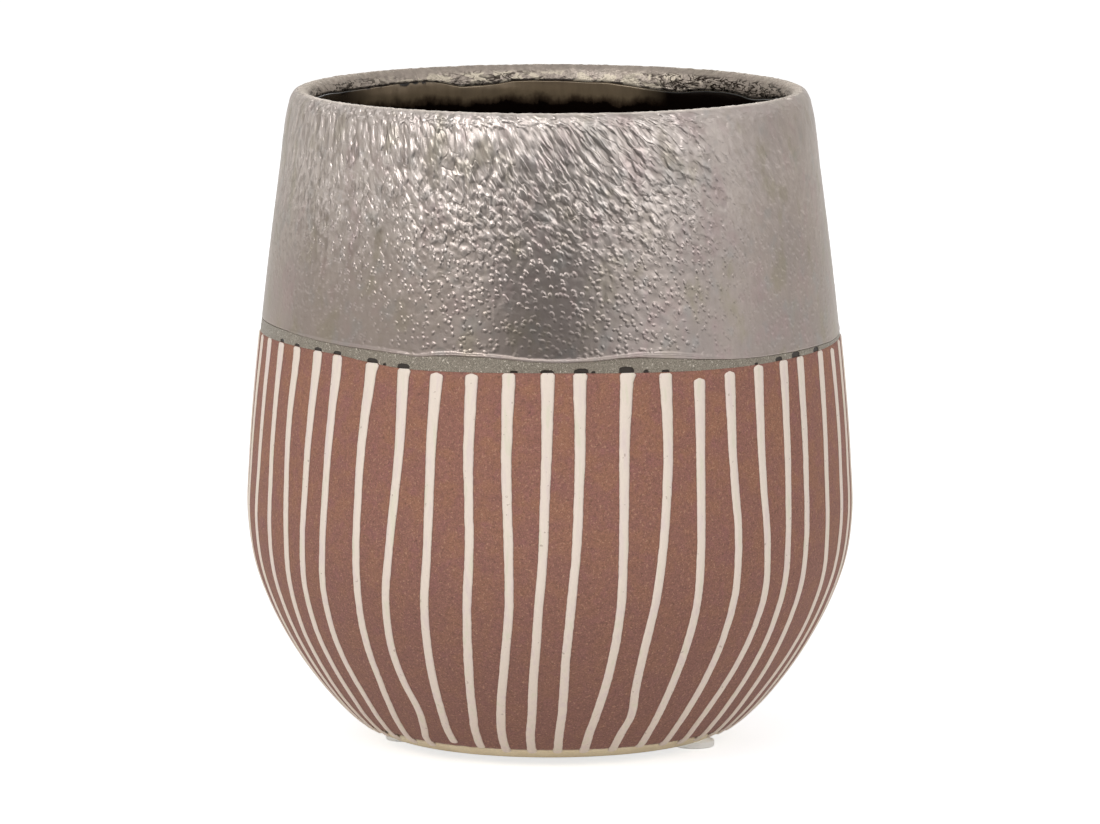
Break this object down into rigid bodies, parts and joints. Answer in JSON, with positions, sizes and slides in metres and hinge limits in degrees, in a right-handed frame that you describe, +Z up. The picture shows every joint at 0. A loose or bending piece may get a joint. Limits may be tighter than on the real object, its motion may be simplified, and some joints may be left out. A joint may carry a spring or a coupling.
{
  "type": "ceramic vase",
  "caption": "Round-bellied ceramic vase: metallic glaze over shoulder and lip, matte terracotta coat with hand-painted cream lines below, clear pads under the foot.",
  "frame": {"origin": "centre of the circle that the vase stands on, at the underside of its pads", "axes": "+Z up along the axis of the vase, -Y towards the side that the picture shows, +X to its right"},
  "size_m": [0.2062, 0.2063, 0.222],
  "materials": {
    "bare_clay": "matte, unglazed",
    "terracotta_slip": "matte, finely speckled",
    "thin_glaze": "matte, grainy",
    "metallic_glaze": "satin metallic, pebbled",
    "dark_glaze": "gloss",
    "cream_slip": "matte",
    "clear_pad": "satin, translucent"
  },
  "bodies": {
    "root": {"clay_body": "bare_clay", "slip_coat": "terracotta_slip", "glaze_margin": "thin_glaze", "metal_glaze": "metallic_glaze", "inner_glaze": "dark_glaze", "cream_line_01": "cream_slip", "cream_line_02": "cream_slip", "cream_line_03": "cream_slip", "cream_line_04": "cream_slip", "cream_line_05": "cream_slip", "cream_line_06": "cream_slip", "cream_line_07": "cream_slip", "cream_line_08": "cream_slip", "cream_line_09": "cream_slip", "cream_line_10": "cream_slip", "cream_line_11": "cream_slip", "cream_line_12": "cream_slip", "cream_line_13": "cream_slip", "cream_line_14": "cream_slip", "cream_line_15": "cream_slip", "cream_line_16": "cream_slip", "cream_line_17": "cream_slip", "cream_line_18": "cream_slip", "cream_line_19": "cream_slip", "cream_line_20": "cream_slip", "cream_line_21": "cream_slip", "cream_line_22": "cream_slip", "cream_line_23": "cream_slip", "cream_line_24": "cream_slip", "cream_line_25": "cream_slip", "cream_line_26": "cream_slip", "cream_line_27": "cream_slip", "cream_line_28": "cream_slip", "cream_line_29": "cream_slip", "cream_line_30": "cream_slip", "cream_line_31": "cream_slip", "cream_line_32": "cream_slip", "cream_line_33": "cream_slip", "cream_line_34": "cream_slip", "cream_line_35": "cream_slip", "cream_line_36": "cream_slip", "cream_line_37": "cream_slip", "cream_line_38": "cream_slip", "cream_line_39": "cream_slip", "cream_line_40": "cream_slip", "cream_line_41": "cream_slip", "cream_line_42": "cream_slip", "cream_line_43": "cream_slip", "cream_line_44": "cream_slip", "cream_line_45": "cream_slip", "cream_line_46": "cream_slip", "cream_line_47": "cream_slip", "cream_line_48": "cream_slip", "cream_line_49": "cream_slip", "foot_pad_1": "clear_pad", "foot_pad_2": "clear_pad", "foot_pad_3": "clear_pad"}
  },
  "joints": []
}
